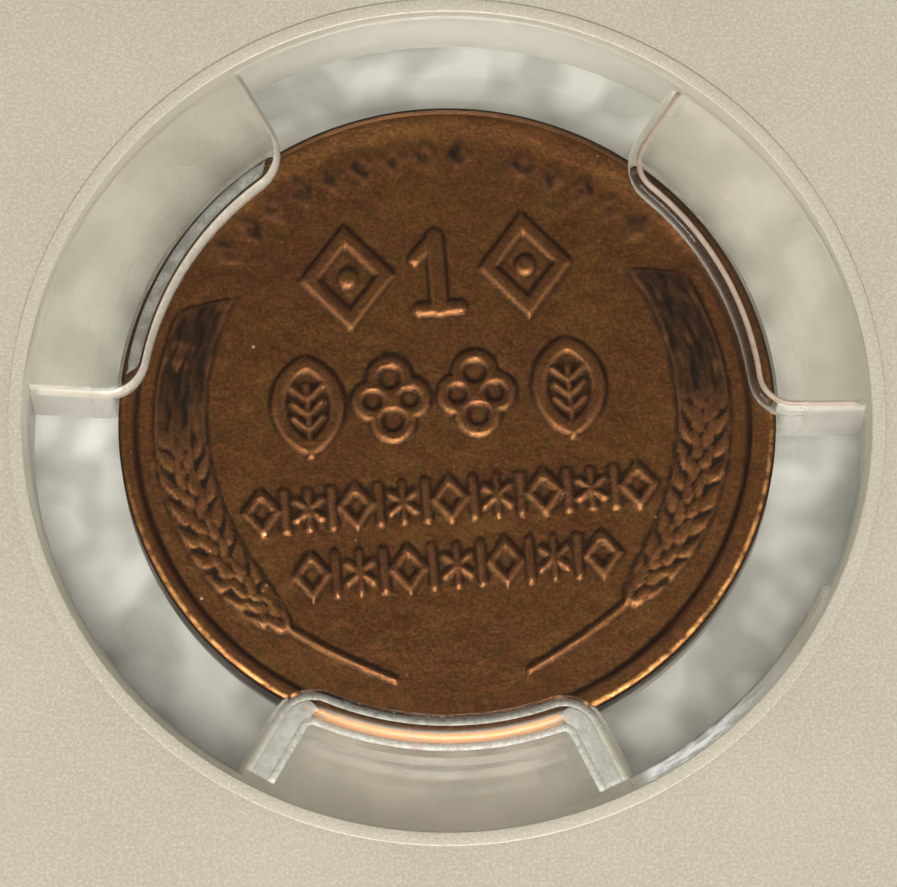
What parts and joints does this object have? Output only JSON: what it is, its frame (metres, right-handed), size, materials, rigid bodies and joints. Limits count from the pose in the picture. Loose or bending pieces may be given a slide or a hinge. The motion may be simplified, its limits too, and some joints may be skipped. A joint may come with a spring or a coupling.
{
  "type": "graded coin slab",
  "caption": "Sealed clear certification holder with a frosted core, a pronged clear gasket gripping a small bronze coin that can turn in it, paper labels and a contactless tag.",
  "frame": {"origin": "middle of the footprint on the resting plane, under the front side's stacking ridge", "axes": "+Z out of the rear side, where the coin's reverse shows; +Y to the label end, along the longest side; +X to the right when the reverse is seen upright"},
  "size_m": [0.062, 0.0856, 0.008],
  "materials": {
    "clear_shell": "clear polished polystyrene, light handling marks",
    "frosted_core": "frosted translucent plastic with a fine sparkle",
    "gasket_clear": "clear moulded gasket, slightly cloudy at its edges",
    "coin_bronze": "circulated bronze with dark brown patina and bright worn edges",
    "label_paper": "printed coated paper",
    "foil": "embossed diffraction foil",
    "tag_film": "clear polyester film",
    "tag_trace": "etched foil",
    "tag_chip": "black encapsulant"
  },
  "bodies": {
    "holder": {"rear_shell": "clear_shell", "front_shell": "clear_shell", "core_plate": "frosted_core", "coin_gasket": "gasket_clear", "grade_label": "label_paper", "rear_label": "label_paper", "security_foil": "foil", "tag_film": "tag_film", "tag_antenna": "tag_trace", "tag_chip": "tag_chip"},
    "coin": {"coin": "coin_bronze"}
  },
  "joints": [
    {"name": "coin_spin", "type": "hinge", "parent": "holder", "child": "coin", "pos_m": [0, -0.0118, 0.004], "axis": [0, 0, 1], "continuous": true}
  ]
}
